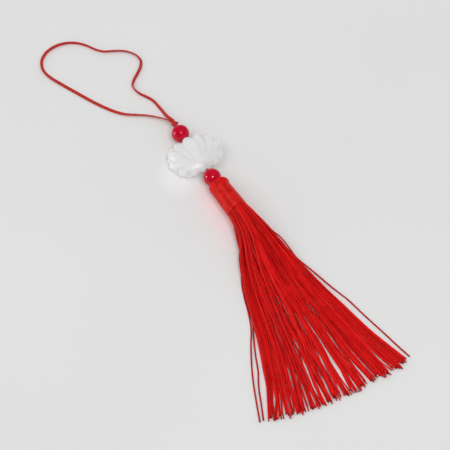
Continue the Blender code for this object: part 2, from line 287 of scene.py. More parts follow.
def addCamera():
    camera = bpy.data.objects.new("camera", bpy.data.cameras.new("camera"))
    toward = towardCamera()
    standAndFace(camera, viewTarget + toward * viewLook["distance"] * mm, toward)
    camera.data.sensor_width = viewLook["sensor"]
    camera.data.lens = viewLook["sensor"] / 2 / math.tan(math.radians(viewLook["opening"]) / 2)
    camera.data.clip_start = viewLook["nearest"]
    bpy.context.scene.camera = camera


addCamera()

lightLook = {
    # name, direction as the viewer sees it, distance and size in m, power
    "softLamps": (
        ("softbox", (-0.95, 0.2, 0.9), 2.2, 2.0, 12.0),
        ("fillLamp", (0.25, -0.35, 0.9), 2.5, 1.1, 16.4),
    ),
    "shineLamps": (
        ("frontLamp", (0.14, -0.34, 0.93), 1.0, 0.24, 5.2),
        ("sideLamp", (-0.97, -0.04, 0.225), 1.0, 0.24, 3.8),
    ),
    "skyColor": (0.97, 0.975, 0.98), "skyStrength": 0.56, "skyInShine": 0.3,
    # light that has passed through the charm and the silk: floor spot and width in mm, colour, power
    "glows": (
        ((-11.2, -3.2), 25.0, white, 3.9),
        ((-5.0, -21.5), 20.0, (1.0, 0.02, 0.02), 4.2),
        ((-6.3, -32.0), 20.0, (1.0, 0.02, 0.02), 4.2),
        ((-8.3, -44.0), 20.0, (1.0, 0.02, 0.02), 3.6),
    ),
}
floorLook = {
    "size": 6.0, "roughness": 0.85, "shine": 0.1, "cloudScale": 6.0,
    "colors": ((0.3, (0.80, 0.80, 0.795)), (0.7, (0.825, 0.825, 0.82))),
}


def addLamp(name, kind, power, spot, toward):
    lamp = bpy.data.objects.new(name, bpy.data.lights.new(name, kind))
    lamp.data.energy = power
    standAndFace(lamp, spot, toward)
    return lamp


def addLamps(group, inDiffuse, inGlossy):
    for name, direction, distance, size, power in lightLook[group]:
        toward = fromCamera(*direction)
        lamp = addLamp(name, "AREA", power, viewTarget + toward * distance, toward)
        lamp.data.shape = "DISK"
        lamp.data.size = size
        lamp.visible_diffuse = inDiffuse
        lamp.visible_glossy = inGlossy


def addSky():
    world = bpy.data.worlds.new("studio")
    world.use_nodes = True
    tree = world.node_tree
    background = tree.nodes["Background"]
    background.inputs["Color"].default_value = (*lightLook["skyColor"], 1.0)
    # shiny pieces mirror a darker sky than the one that lights them
    ray = addNode(tree, "LightPath")
    level = addNode(tree, "MapRange", To_Min=lightLook["skyStrength"],
                    To_Max=lightLook["skyStrength"] * lightLook["skyInShine"])
    tree.links.new(ray.outputs["Is Glossy Ray"], level.inputs["Value"])
    tree.links.new(level.outputs["Result"], background.inputs["Strength"])
    bpy.context.scene.world = world
    bpy.context.scene.view_settings.view_transform = "Standard"


def addFloor():
    bpy.ops.mesh.primitive_plane_add(size=floorLook["size"], location=(0.0, 0.0, 0.0))
    floor = bpy.context.object
    floor.name = "paperFloor"
    material, tree, shader = newMaterial("palePaper", Roughness=floorLook["roughness"],
                                         Specular_IOR_Level=floorLook["shine"])
    cloud = addNoise(tree, floorLook["cloudScale"], detail=2.0)
    tree.links.new(addRamp(tree, cloud, floorLook["colors"]), shader.inputs["Base Color"])
    floor.data.materials.append(material)
    return floor


def addGlows(floor):
    # Lamps that light the floor and nothing else, each a metre from its spot.
    catcher = bpy.data.collections.new("floorOnly")
    catcher.objects.link(floor)
    toward = towardCamera()
    for spot, width, color, power in lightLook["glows"]:
        lamp = addLamp("glow", "SPOT", power, place(*spot) + toward, toward)
        lamp.data.color = color
        lamp.data.spot_size = 2 * math.atan(width / 2 * mm)
        lamp.data.spot_blend = 1.0
        lamp.light_linking.receiver_collection = catcher


# the soft lights show as no spot on the beads, and the two small lamps only give the points of shine
addLamps("softLamps", inDiffuse=True, inGlossy=False)
addLamps("shineLamps", inDiffuse=False, inGlossy=True)
addSky()
addGlows(addFloor())
print("camera, lights and floor are in place")


# the hanging cord: a flat braid of four ends

cordLook = {
    "route": (
        (0.95, 22.45, 4.35), (0.6, 24.4, 3.9), (0.3, 26.8, 3.0), (0.25, 30.0, 1.8), (0.3, 33.6, 1.05),
        (0.1, 37.0, 0.8), (-0.4, 40.8, 0.8), (-2.0, 44.5, 0.8), (-3.7, 47.5, 0.8), (-4.65, 51.0, 0.8),
        (-4.4, 54.2, 0.8), (-2.0, 56.9, 0.8), (1.5, 59.5, 0.8), (4.8, 62.2, 0.8), (6.9, 65.6, 0.8),
        (6.7, 69.4, 0.8), (4.9, 73.0, 0.8), (2.0, 75.9, 0.8), (-2.0, 78.3, 0.8), (-6.6, 80.8, 0.8),
        (-9.6, 84.4, 0.8), (-12.5, 89.3, 0.8), (-16.4, 93.4, 0.8), (-21.5, 96.0, 0.8), (-27.0, 96.6, 0.8),
        (-32.3, 95.2, 0.8), (-36.4, 91.6, 0.8), (-38.1, 86.5, 0.8), (-37.3, 81.2, 0.7), (-34.6, 74.5, 0.6),
        (-30.5, 65.6, 0.56), (-26.1, 56.2, 0.56), (-21.3, 47.6, 0.56), (-16.6, 41.6, 0.6),
        (-11.6, 37.8, 0.75), (-7.9, 35.1, 0.9), (-4.9, 31.9, 1.4), (-2.6, 28.6, 2.3),
        (-1.0, 25.4, 3.5), (-0.25, 22.45, 4.35),
    ),
    # how far the braid has rolled over at each share of its length: 0 stands on edge, 90 lies flat
    "roll": ((0.0, 60), (0.065, 36), (0.128, 15), (0.192, -27), (0.247, -37), (0.339, -22), (0.417, -4),
             (0.489, 4), (0.59, 48), (0.664, 90), (0.735, 91), (0.806, 94), (0.863, 69), (0.906, 43),
             (0.95, 31), (1.0, 30)),
    "width": 1.8, "thickness": 0.84, "strand": 0.275, "pitch": 4.4, "steps": 620, "pathStep": 10,
    # the four ends' tones
    "tones": (0.35, 0.6, 0.45, 0.7),
    "colors": ((0.25, (0.50, 0.034, 0.030)), (0.75, (0.72, 0.054, 0.046))),
    "shine": 0.25, "shineTint": 0.4, "rough": 0.5, "patchScale": 900.0,
    "pliesRound": 3.0, "pliesAlong": 240.0, "plyDepth": 0.00006,
}


def braidAxes(middle, run, look):
    # The directions across the braid's flat side and through its thickness, at each point.
    ahead = np.gradient(middle, axis=0)
    ahead /= np.linalg.norm(ahead, axis=1)[:, None]
    side = np.cross(ahead, (0.0, 0.0, 1.0))
    side /= np.linalg.norm(side, axis=1)[:, None]
    rise = np.cross(side, ahead)
    shares, angles = zip(*look["roll"])
    roll = np.radians(np.interp(run / run[-1], shares, angles))[:, None]
    return rise * np.cos(roll) + side * np.sin(roll), side * np.cos(roll) - rise * np.sin(roll)


def buildCord(look):
    middle = smoothRoute(look["route"], look["steps"])
    run = runAlong(middle)
    flat, thick = braidAxes(middle, run, look)
    across = look["width"] / 2 - look["strand"]
    deep = look["thickness"] / 2 - look["strand"]
    halfHeight = across * np.abs(flat[:, 2]) + deep * np.abs(thick[:, 2]) + look["strand"]
    middle[:, 2] = np.maximum(middle[:, 2], halfHeight)
    paths = []
    for end in range(len(look["tones"])):
        turn = fullTurn * run / look["pitch"] + end * quarterTurn
        paths.append(middle + flat * (across * np.cos(turn))[:, None]
                     + thick * (deep * np.sin(2 * turn))[:, None])
    cord = sweptTubes("hangingCord", paths, look["strand"], look["tones"])
    finishPiece(cord, "hanging_cord", silkMaterial("braidedCord", look), "cord", "hanging_loop")
    print("cord length in mm", round(run[-1], 1))


buildCord(cordLook)


# beads

beadLook = {
    "radius": 4.35, "bore": 0.85, "rim": 0.18, "sharpAngle": 40.0, "segments": 72, "rings": 48,
    "upper": 14.6, "lower": -14.85,       # mm along the thread
    "colors": ((0.25, (0.42, 0.0, 0.012)), (0.55, (0.62, 0.001, 0.026)), (0.8, (0.74, 0.003, 0.036))),
}


def beadMaterial(look):
    material, tree, shader = newMaterial(
        "crimsonBead", Roughness=0.09, IOR=1.5, Specular_IOR_Level=0.32,
        Subsurface_Weight=0.2, Subsurface_Radius=(1.0, 0.08, 0.1), Subsurface_Scale=0.0012)
    veins = addNoise(tree, scale=420.0, detail=5.0, distortion=1.6)
    tree.links.new(addRamp(tree, veins, look["colors"]), shader.inputs["Base Color"])
    ripple = addNoise(tree, scale=1500.0, detail=1.0)
    addBump(tree, shader, ripple, strength=0.12, distance=0.00002)
    return material


def buildBead(name, along, material, look):
    bpy.ops.mesh.primitive_uv_sphere_add(segments=look["segments"], ring_count=look["rings"],
                                         radius=look["radius"] * mm)
    bead = bpy.context.object
    bpy.ops.object.mode_set(mode="EDIT")
    bpy.ops.mesh.select_all(action="DESELECT")
    bpy.ops.mesh.select_mode(type="VERT")
    bpy.ops.object.mode_set(mode="OBJECT")
    for point in bead.data.vertices:
        point.select = math.hypot(point.co.x, point.co.y) < look["bore"] * mm
    bpy.ops.object.mode_set(mode="EDIT")
    bpy.ops.mesh.delete(type="VERT")
    bpy.ops.mesh.select_non_manifold()
    bpy.ops.mesh.bridge_edge_loops()
    bpy.ops.mesh.select_all(action="SELECT")
    bpy.ops.mesh.normals_make_consistent(inside=False)
    bpy.ops.object.mode_set(mode="OBJECT")
    applyModifier(bead, "BEVEL", width=look["rim"] * mm, segments=3, limit_method="ANGLE",
                  angle_limit=math.radians(look["sharpAngle"]))
    bead.rotation_euler = (quarterTurn, 0.0, 0.0)
    bead.location = place(0.0, along, beadMiddle)
    finishPiece(bead, name + "_polished", material, "bead", name)


crimson = beadMaterial(beadLook)
buildBead("upper_bead", beadLook["upper"], crimson, beadLook)
buildBead("lower_bead", beadLook["lower"], crimson, beadLook)


# the lotus charm

lotusLook = {
    # tip x and y, foot x and y, width, middle's height, crown's height; those off the axis come in pairs
    "petals": (
        (0.0, 10.2, 0.0, -5.0, 9.4, 6.2, 8.5), (5.9, 10.4, 1.2, -6.0, 9.2, 4.3, 8.0),
        (11.6, 8.2, 2.0, -6.5, 9.0, 3.6, 7.2), (14.5, 2.2, 2.0, -3.5, 8.6, 2.8, 6.4),
        (12.5, -5.0, 1.0, -0.5, 8.6, 2.4, 6.0), (6.4, -8.9, 2.0, 1.0, 8.8, 2.9, 6.6),
        (4.8, 11.5, 2.4, 4.5, 6.2, 2.3, 4.4), (9.7, 10.0, 3.7, 3.7, 7.0, 2.3, 4.4),
        (13.6, 5.6, 5.4, 1.8, 7.0, 2.2, 4.2), (13.8, -1.6, 5.7, -0.9, 7.0, 2.0, 3.9),
        (10.2, -7.0, 4.1, -3.2, 7.0, 2.0, 3.9), (3.0, -8.9, 1.2, -3.7, 7.0, 2.2, 4.2),
    ),
    # the small collar at the foot: tip, foot, width, middle's height, crown's height
    "collar": ((0.0, -10.3), (0.0, -6.7), 4.2, 4.1, 6.1),
    # half the width, length and height of the core, and its middle's height
    "core": (11.6, 9.3, 3.9, 3.7),
    "leftShare": 0.95, "collarBlunt": 0.55, "taper": 0.2, "bore": 1.08, "cutterSize": 0.06,
    "voxel": 0.16, "smooth": 5, "skin": 0.16, "lowestCut": 0.05,
    "ribDepth": 0.08, "ribWidth": 0.30, "ribEnd": 0.8, "rimDepth": 0.08, "rimShare": 0.80, "rimWidth": 0.22,
    "colors": ((0.3, (0.69, 0.695, 0.69)), (0.7, (0.75, 0.755, 0.75))),
}


def lotusMaterial(look):
    # the faint emission is a painted glow: it lifts the shaded crevices and lights the floor beside the charm,
    # standing in for light passing through the translucent stone
    material, tree, shader = newMaterial(
        "milkyJadePaintedGlow", Roughness=0.32, IOR=1.5, Specular_IOR_Level=0.35,
        Emission_Color=(1.0, 1.0, 0.99, 1.0), Emission_Strength=0.09,
        Subsurface_Weight=1.0, Subsurface_Radius=(1.0, 1.0, 0.98), Subsurface_Scale=0.004)
    cloud = addNoise(tree, scale=160.0, detail=4.0, distortion=0.8)
    tree.links.new(addRamp(tree, cloud, look["colors"]), shader.inputs["Base Color"])
    grain = addNoise(tree, scale=1800.0, detail=2.0)
    addBump(tree, shader, grain, strength=0.15, distance=0.00004)
    return material


def eachPetal(look):
    for tipX, tipY, footX, footY, width, middle, crown in look["petals"]:
        for side in (1,) if tipX == 0 else (-look["leftShare"], 1):
            yield np.array((side * tipX, tipY)), np.array((side * footX, footY)), width, middle, crown


def buildEgg(halfWidth, halfLength, halfHeight, taper, blunt=1.0):
    bpy.ops.mesh.primitive_uv_sphere_add(segments=48, ring_count=32, radius=1.0)
    egg = bpy.context.object
    for point in egg.data.vertices:
        side, height, along = point.co
        wide = max(math.hypot(side, height), 0.001) ** (blunt - 1.0)
        side, height, along = side * wide, height * wide, math.copysign(abs(along) ** blunt, along)
        narrow = 1.0 - taper * max(along, 0.0) ** 2
        point.co = Vector((-side * halfWidth * narrow, along * halfLength, height * halfHeight * narrow)) * mm
    return egg


def buildPetal(tip, foot, width, middle, crown, taper, blunt=1.0):
    tip, foot = Vector(tip), Vector(foot)
    egg = buildEgg(width / 2, (tip - foot).length / 2, crown - middle, taper, blunt)
    egg.rotation_euler = (0.0, 0.0, math.atan2(tip.y - foot.y, tip.x - foot.x) - quarterTurn)
    egg.location = place((tip.x + foot.x) / 2, (tip.y + foot.y) / 2, middle)
    return egg


def carvePetals(lotus, look):
    # A fine groove down the middle of each petal and another inside its edge, cut square to the surface.
    mesh = lotus.data
    count = len(mesh.vertices)
    spots, normals = np.empty(count * 3), np.empty(count * 3)
    mesh.vertices.foreach_get("co", spots)
    mesh.vertex_normals.foreach_get("vector", normals)
    spots, normals = spots.reshape(-1, 3), normals.reshape(-1, 3)
    local = spots / mm - np.array(charmPlace)
    cut = np.zeros(count)
    for tip, foot, width, middle, crown in eachPetal(look):
        ahead = (tip - foot) / np.linalg.norm(tip - foot)
        off = local[:, :2] - (tip + foot) / 2
        along = off @ ahead / (np.linalg.norm(tip - foot) / 2)
        narrow = 1 - look["taper"] * np.maximum(along, 0.0)**2
        across = (off[:, 0] * ahead[1] - off[:, 1] * ahead[0]) / narrow
        level = (local[:, 2] - middle) / (crown - middle)
        ring = np.hypot(along, across / (width / 2))
        onPetal = (np.abs(ring**2 + level**2 - 1.0) < look["skin"]) & (level > look["lowestCut"])
        ribFade = np.clip((look["ribEnd"] - along) * 4, 0, 1)
        rib = look["ribDepth"] * np.exp(-(across / look["ribWidth"])**2) * ribFade
        inward = (ring - look["rimShare"]) * width / 2
        rim = look["rimDepth"] * np.exp(-(inward / look["rimWidth"])**2)
        cut = np.maximum(cut, np.where(onPetal, np.maximum(rib, rim), 0.0))
    mesh.vertices.foreach_set("co", (spots - normals * cut[:, None] * mm).ravel())
    mesh.update()


def buildLotus(look):
    forms = [buildPetal(*petal, look["taper"]) for petal in eachPetal(look)]
    forms.append(buildPetal(*look["collar"], 0.0, look["collarBlunt"]))
    width, length, height, middle = look["core"]
    core = buildEgg(width, length, height, 0.0)
    core.location = place(0.0, 0.0, middle)
    lotus = joinPieces([core] + forms)
    settle(lotus)
    applyModifier(lotus, "REMESH", mode="VOXEL", voxel_size=look["voxel"] * mm)
    applyModifier(lotus, "SMOOTH", factor=0.5, iterations=look["smooth"])
    carvePetals(lotus, look)
    size = look["cutterSize"]
    bpy.ops.mesh.primitive_cube_add(size=size, location=(*place(0.0, 0.0).xy, -size / 2))
    ground = bpy.context.object
    bpy.ops.mesh.primitive_cylinder_add(vertices=32, radius=look["bore"] * mm, depth=size,
                                        location=place(0.0, 0.0, beadMiddle), rotation=(quarterTurn, 0, 0))
    bore = bpy.context.object
    for tool in (ground, bore):
        applyModifier(lotus, "BOOLEAN", operation="DIFFERENCE", object=tool, solver="EXACT")
        bpy.data.objects.remove(tool)
    finishPiece(lotus, "lotus_carved", lotusMaterial(look), "lotus", "lotus_charm")


buildLotus(lotusLook)


# knot and threading cord

threadLook = {
    "ends": (-19.0, 18.9), "plyRadius": 0.36, "plyOffset": 0.36, "pitch": 2.4, "steps": 220,
    "tones": (0.4, 0.6),
    "colors": ((0.25, (0.55, 0.006, 0.008)), (0.75, (0.78, 0.012, 0.012))),
    "shine": 0.25, "shineTint": 0.4, "rough": 0.5, "patchScale": 900.0,
    "pliesRound": 3.0, "pliesAlong": 60.0, "plyDepth": 0.00004,
}
knotLook = {
    "middle": (0.35, 20.65, 4.35), "size": 0.40, "lift": 1.15, "cord": 0.54, "steps": 90,
    "legs": (((0.95, 22.65, 4.35), (0.75, 21.6, 4.45), (0.5, 20.7, 4.35)),
             ((-0.25, 22.65, 4.35), (0.0, 21.6, 4.25), (0.2, 20.7, 4.35)),
             ((0.3, 20.9, 4.35), (0.25, 19.9, 4.35), (0.1, 18.7, 4.35))),
    "stub": ((0.9, 20.0, 4.65), (1.5, 20.15, 5.25), (2.0, 20.25, 5.65)),
    # tones of the loop, the three legs and the cut stub
    "tones": (0.5, 0.4, 0.6, 0.5, 0.15),
}


def buildThread(look):
    along = np.linspace(*look["ends"], look["steps"])
    paths = []
    for start in (0.0, math.pi):
        turn = fullTurn * along / look["pitch"] + start
        paths.append(np.column_stack([look["plyOffset"] * np.cos(turn), along,
                                      beadMiddle + look["plyOffset"] * np.sin(turn)]))
    thread = sweptTubes("threadingCord", paths, look["plyRadius"], look["tones"])
    finishPiece(thread, "threading_twist", silkMaterial("threadSilk", look), "cord", "threading_cord")


def buildKnot(look):
    # An overhand knot's loop, a trefoil, with its legs and its stub.
    t = np.linspace(0.0, fullTurn, look["steps"], endpoint=True)
    x = np.sin(t) + 2 * np.sin(2 * t)
    y = np.cos(t) - 2 * np.cos(2 * t)
    z = -look["lift"] * np.sin(3 * t)
    loop = np.column_stack([x, y, z]) * look["size"] + np.array(look["middle"])
    paths = [loop] + [smoothRoute(leg, 12) for leg in look["legs"]] + [smoothRoute(look["stub"], 8)]
    knot = sweptTubes("knot", paths, look["cord"], look["tones"], resolution=2)
    finishPiece(knot, "knot_drawn_tight", silkMaterial("knotSilk", cordLook), "cord", "top_knot")


buildThread(threadLook)
buildKnot(knotLook)


# the tassel's head: folded strands over a core, and the binding wound round them

headLook = {
    # heights count from the neck, up the head
    "neck": (0.3, -37.4), "turn": 1.05,
    "bindingTop": 14.7, "bindingEnd": 0.3, "topRadius": 4.98, "endRadius": 5.4,
    "threadRadius": 0.13, "threadPitch": 0.25, "lapSteps": 48, "uneven": 0.035,
    "drawIn": 0.2, "drawLength": 0.8,
    # radius and height along one fold, from the binding over the top and down into the middle
    "dome": ((4.5, 14.0), (4.66, 15.3), (4.66, 16.5), (4.46, 17.5), (3.95, 18.2), (3.0, 18.5), (2.2, 18.3),
             (1.5, 17.95), (0.9, 17.5), (0.4, 16.9)),
    "foldCount": 54, "foldPoints": 26, "foldRadius": 0.27, "foldThins": 3.6, "seed": 21,
    # the right side of the dome is fuller
    "bulge": 0.45, "bulgeTurn": 0.35, "bulgeHeight": 16.6, "bulgeLength": 1.2,
    # radius and height of the core inside the folds
    "core": ((0.0, 17.4), (1.5, 17.75), (2.9, 18.3), (3.55, 18.0), (4.25, 17.3), (4.45, 16.4), (4.5, 15.0)),
    "coreInset": 0.42, "coreFoot": 0.8, "coreSteps": 48, "coreTone": 0.1,
}
silkLook = {
    "colors": ((0.2, (0.50, 0.002, 0.004)), (0.3, (0.65, 0.002, 0.004)), (0.5, (0.80, 0.003, 0.005)),
               (0.8, (0.95, 0.011, 0.012))),
    "shine": 0.35, "shineTint": 0.4, "rough": 0.4, "patchScale": 240.0,
    "pliesRound": 2.0, "pliesAlong": 70.0, "plyDepth": 0.00004,
}
bindingLook = {
    "colors": ((0.43, (0.66, 0.006, 0.006)), (0.5, (0.77, 0.012, 0.010)), (0.57, (0.90, 0.022, 0.014))),
    "shine": 1.0, "shineTint": 0.2, "rough": 0.3, "patchScale": 330.0,
    "pliesRound": 2.0, "pliesAlong": 900.0, "plyDepth": 0.00003,
}


def coneRadius(height):
    share = (height - headLook["bindingEnd"]) / (headLook["bindingTop"] - headLook["bindingEnd"])
    return headLook["endRadius"] + share * (headLook["topRadius"] - headLook["endRadius"])


def headAxes(look):
    # The neck's middle, the way up the head, and two directions across it.
    slope = math.atan((look["endRadius"] - look["topRadius"]) / (look["bindingTop"] - look["bindingEnd"]))
    turn = math.radians(look["turn"])
    neck = Vector((*look["neck"], coneRadius(0.0) / math.cos(slope)))
    up = Vector((-math.sin(turn) * math.cos(slope), math.cos(turn) * math.cos(slope), -math.sin(slope)))
    side = up.cross(Vector((0.0, 0.0, 1.0))).normalized()
    return np.array(neck), np.array(up), np.array(side), np.array(side.cross(up))


neckPoint, headUp, headSide, headRise = headAxes(headLook)


def onHead(radius, height, turn):
    return (neckPoint + np.outer(height, headUp) + np.outer(radius * np.cos(turn), headSide)
            + np.outer(radius * np.sin(turn), headRise))


def buildBinding(look):
    thick = look["threadRadius"]
    turns = (look["bindingTop"] - look["bindingEnd"] - 2 * thick) / look["threadPitch"]
    turn = np.arange(0.0, fullTurn * turns, fullTurn / look["lapSteps"])
    height = look["bindingEnd"] + thick + look["threadPitch"] * turn / fullTurn
    # uneven laps, which stay inside the cone, and the last turns draw in over the strands
    wide = np.sin(height * 5.6 + 1.4 * np.sin(turn * 0.503))
    narrow = 0.6 * np.sin(height * 2.3 + 2 * np.sin(turn * 0.251))
    radius = coneRadius(height) - thick - look["uneven"] * (1.6 + (wide + narrow))
    radius -= look["drawIn"] * np.clip(1.0 - (height - look["bindingEnd"]) / look["drawLength"], 0.0, 1.0)
    binding = sweptTubes("binding", [onHead(radius, height, turn)], thick)
    silk = silkMaterial("bindingSilk", bindingLook)
    finishPiece(binding, "neck_winding", silk, "binding", "neck_binding")


def turnedCore(profile, steps):
    # A round closed form from a profile of (radius, height) that starts and ends on the axis.
    mesh = bpy.data.meshes.new("core")
    mesh.from_pydata([(radius * mm, 0.0, height * mm) for radius, height in profile],
                     [(k, k + 1) for k in range(len(profile) - 1)], [])
    core = bpy.data.objects.new("core", mesh)
    bpy.context.scene.collection.objects.link(core)
    pick(core)
    bpy.ops.object.mode_set(mode="EDIT")
    bpy.ops.mesh.select_all(action="SELECT")
    bpy.ops.mesh.spin(steps=steps, angle=fullTurn, center=(0, 0, 0), axis=(0, 0, 1))
    bpy.ops.mesh.select_all(action="SELECT")
    bpy.ops.mesh.remove_doubles(threshold=0.00001)
    bpy.ops.mesh.normals_make_consistent(inside=False)
    bpy.ops.object.mode_set(mode="OBJECT")
    turned = Matrix((headSide, -headRise, headUp)).transposed().to_4x4()
    turned.translation = place(*neckPoint)
    core.matrix_world = turned
    settle(core)
    return core


def buildFolds(look):
    chance = np.random.default_rng(look["seed"])
    dome = np.array(look["dome"])
    route = smoothRoute(np.column_stack([dome, np.zeros(len(dome))]), look["foldPoints"])
    out, height = route[:, 0], route[:, 1]
    swell = look["bulge"] * np.exp(-((height - look["bulgeHeight"]) / look["bulgeLength"])**2)
    paths, radii = [], []
    for fold in range(look["foldCount"]):
        turn = fullTurn * (fold + chance.uniform(-0.25, 0.25)) / look["foldCount"]
        lean = chance.uniform(-0.06, 0.06) * np.linspace(0.0, 1.0, len(route)) ** 2
        facing = (0.5 + 0.5 * math.cos(turn - look["bulgeTurn"])) ** 2
        radius = out * (1.0 + chance.uniform(-0.012, 0.012)) + swell * facing
        paths.append(onHead(radius, height + chance.uniform(-0.06, 0.06), turn + lean))
        radii.append(np.clip(out / look["foldThins"], 0.3, 1.0) * chance.uniform(0.95, 1.1))
    return sweptTubes("folds", paths, look["foldRadius"], chance.uniform(0.2, 0.9, len(paths)), radii)


def buildCore(look):
    inset, foot = look["coreInset"], look["coreFoot"]
    inBinding = ((coneRadius(14.5) - inset, 14.4), (coneRadius(foot) - inset, foot), (0.0, foot))
    core = turnedCore(look["core"] + inBinding, look["coreSteps"])
    tone = core.data.attributes.new("tone", "FLOAT", "POINT")
    tone.data.foreach_set("value", np.full(len(core.data.vertices), look["coreTone"], dtype=np.float32))
    return core


buildBinding(headLook)


# the strands, laid out and left to settle on each other and on the floor

strandLook = {
    # reach from the neck, left edge, right edge, share of the spread, share of the head's height left
    "fan": (
        (0.0, -4.65, 5.4, 0.0, 1.0), (1.0, -4.7, 5.6, 0.02, 1.04), (2.0, -4.8, 5.95, 0.04, 1.05),
        (5.0, -5.4, 6.7, 0.1, 0.96), (12.0, -6.3, 7.8, 0.25, 0.77), (24.0, -12.3, 9.8, 0.6, 0.47),
        (36.0, -17.2, 11.1, 0.8, 0.29), (50.0, -21.8, 13.0, 1.0, 0.19), (66.0, -27.0, 16.0, 1.0, 0.13),
        (84.0, -34.0, 19.1, 1.0, 0.09), (104.0, -43.6, 24.6, 1.0, 0.07),
    ),
    "count": 190, "radius": 0.275, "rootRadius": 5.05, "stations": 44, "points": 44, "seed": 11,
    # share across the fan and the strands' length there, and how uneven the cut is
    "lengths": ((-1.0, 101.0), (-0.6, 100.9), (-0.35, 100.2), (-0.05, 100.3), (0.1, 101.3), (0.55, 101.6),
                (0.7, 103.0), (0.85, 104.4), (1.0, 103.5)),
    "uneven": 0.9, "shortest": -3.5, "longest": 1.7,
    # how the strands mix on the way down: neighbours change places, some wander, all wave a little
    "mixing": 0.8, "drift": 0.075, "drifting": 0.45, "wave": 0.6,
    "waves": ((5.5, 0.6), (11.0, 1.0), (2.6, 0.3)),       # length and height
    # how hard each strand pulls to its place, stiffens and gives way, in the first sweeps and in the last
    "sweeps": 46, "pull": 0.14, "stiffness": 0.22, "pushAside": 0.12, "pushUp": 0.34,
    "lastSweeps": 26, "lastPull": 0.05, "lastStiffness": 0.15, "lastAside": 0.03, "partedStiffness": 0.2,
    "rootShare": 0.88, "rootDepth": 2.0, "spreadEnd": 24.0,
    "slits": 22, "slitStart": (84.0, 97.0), "slitLean": 0.02, "slitWidth": (0.45, 0.85),
    "strayWidth": 1.35, "darkEnds": 0.012,
    # partings that show the floor: reach and share where each starts and ends, and its width in mm
    "partings": (
        (61.0, -0.322, 75.0, -0.285, 1.1), (69.0, -0.375, 82.0, -0.318, 1.0),
        (75.0, -0.215, 81.5, -0.168, 1.0), (79.5, -0.152, 88.0, -0.122, 1.3),
        (84.0, -0.165, 96.5, -0.140, 1.5), (71.5, -0.036, 87.0, -0.015, 1.1),
        (90.0, -0.018, 104.0, 0.022, 1.6), (91.0, -0.405, 104.0, -0.360, 1.2),
        (50.0, -0.233, 60.5, -0.226, 0.9), (58.5, -0.080, 68.5, -0.101, 0.9),
        (41.0, -0.205, 51.0, -0.265, 0.6), (86.0, -0.930, 104.0, -0.860, 1.4),
        (81.0, 0.126, 97.0, 0.134, 1.1), (92.5, 0.262, 104.0, 0.275, 1.0),
        (92.0, 0.395, 104.0, 0.395, 1.1), (97.5, 0.620, 104.0, 0.598, 1.0),
        (75.5, -0.943, 85.0, -0.932, 0.7), (60.5, 0.210, 70.0, 0.220, 0.7),
        (89.0, -0.828, 104.0, -0.798, 1.2),
    ),
    # single strands that lie clear of the fan, two at the left and one at the right
    "strays": (
        ((-4.2, -40.0, 4.6), (-7.2, -48.0, 3.6), (-11.0, -58.0, 2.2), (-17.0, -68.0, 0.9),
         (-20.0, -75.0, 0.45), (-22.6, -82.5, 0.3), (-25.7, -89.6, 0.3), (-30.1, -96.3, 0.3),
         (-35.0, -104.5, 0.3), (-39.0, -112.2, 0.3), (-42.5, -120.0, 0.3), (-46.1, -128.4, 0.3)),
        ((-4.0, -40.0, 5.4), (-6.8, -48.0, 4.2), (-10.6, -58.0, 2.8), (-16.0, -68.0, 1.4),
         (-20.0, -77.0, 0.5), (-23.4, -87.2, 0.3), (-26.5, -92.8, 0.3), (-30.3, -100.0, 0.3),
         (-34.1, -108.4, 0.3), (-35.6, -110.8, 0.3), (-38.5, -115.9, 0.3), (-40.8, -121.0, 0.3),
         (-44.4, -128.6, 0.3)),
        ((5.2, -40.0, 6.6), (7.0, -46.0, 5.6), (8.6, -54.1, 4.0), (9.7, -57.0, 3.5), (10.4, -60.0, 3.1),
         (10.7, -64.8, 2.6), (10.8, -69.9, 2.0), (11.6, -73.6, 1.6), (12.8, -77.6, 1.3), (14.1, -82.0, 1.0),
         (16.0, -89.5, 0.6), (18.0, -96.4, 0.35), (19.5, -101.8, 0.3), (21.3, -112.0, 0.3),
         (23.3, -121.9, 0.3), (25.1, -131.5, 0.3), (26.5, -138.0, 0.3)),
    ),
}


def parted(x, reach, left, right, partings):
    # Strands lean away from each parting, as far as it is open at that reach.
    fanEnd = 103.0
    moved = np.zeros_like(x)
    for start, shareStart, end, shareEnd, gap in partings:
        part = (reach - start) / (end - start)
        line = (left + right) / 2 + (shareStart + part * (shareEnd - shareStart)) * (right - left) / 2
        # a parting that runs past the tips stays open there
        wide = np.sin(np.clip(part if end < fanEnd else part * 0.6, 0.0, 1.0) * math.pi) ** 0.7
        off = x - line
        moved += gap / 2 * wide * np.tanh(off / 0.07) * np.exp(-np.abs(off) / 1.5)
    return x + moved


def pushApart(x, z, gap):
    # How far each strand has to give way to those that it overlaps, and how close the nearest one is.
    acrossX = x[1:, :, None] - x[1:, None, :]
    acrossZ = z[1:, :, None] - z[1:, None, :]
    away = np.hypot(acrossX, acrossZ) + 1e-6
    push = np.maximum(gap - away, 0.0) / away
    nearest = np.where(np.eye(x.shape[1], dtype=bool), 9.0, away).min(axis=2)
    return (acrossX * push).sum(axis=2), (acrossZ * push).sum(axis=2), nearest


def stiffen(line, share):
    # Each station moves toward the middle of its neighbours.
    line[1:-1] += share * (line[:-2] + line[2:] - 2 * line[1:-1])


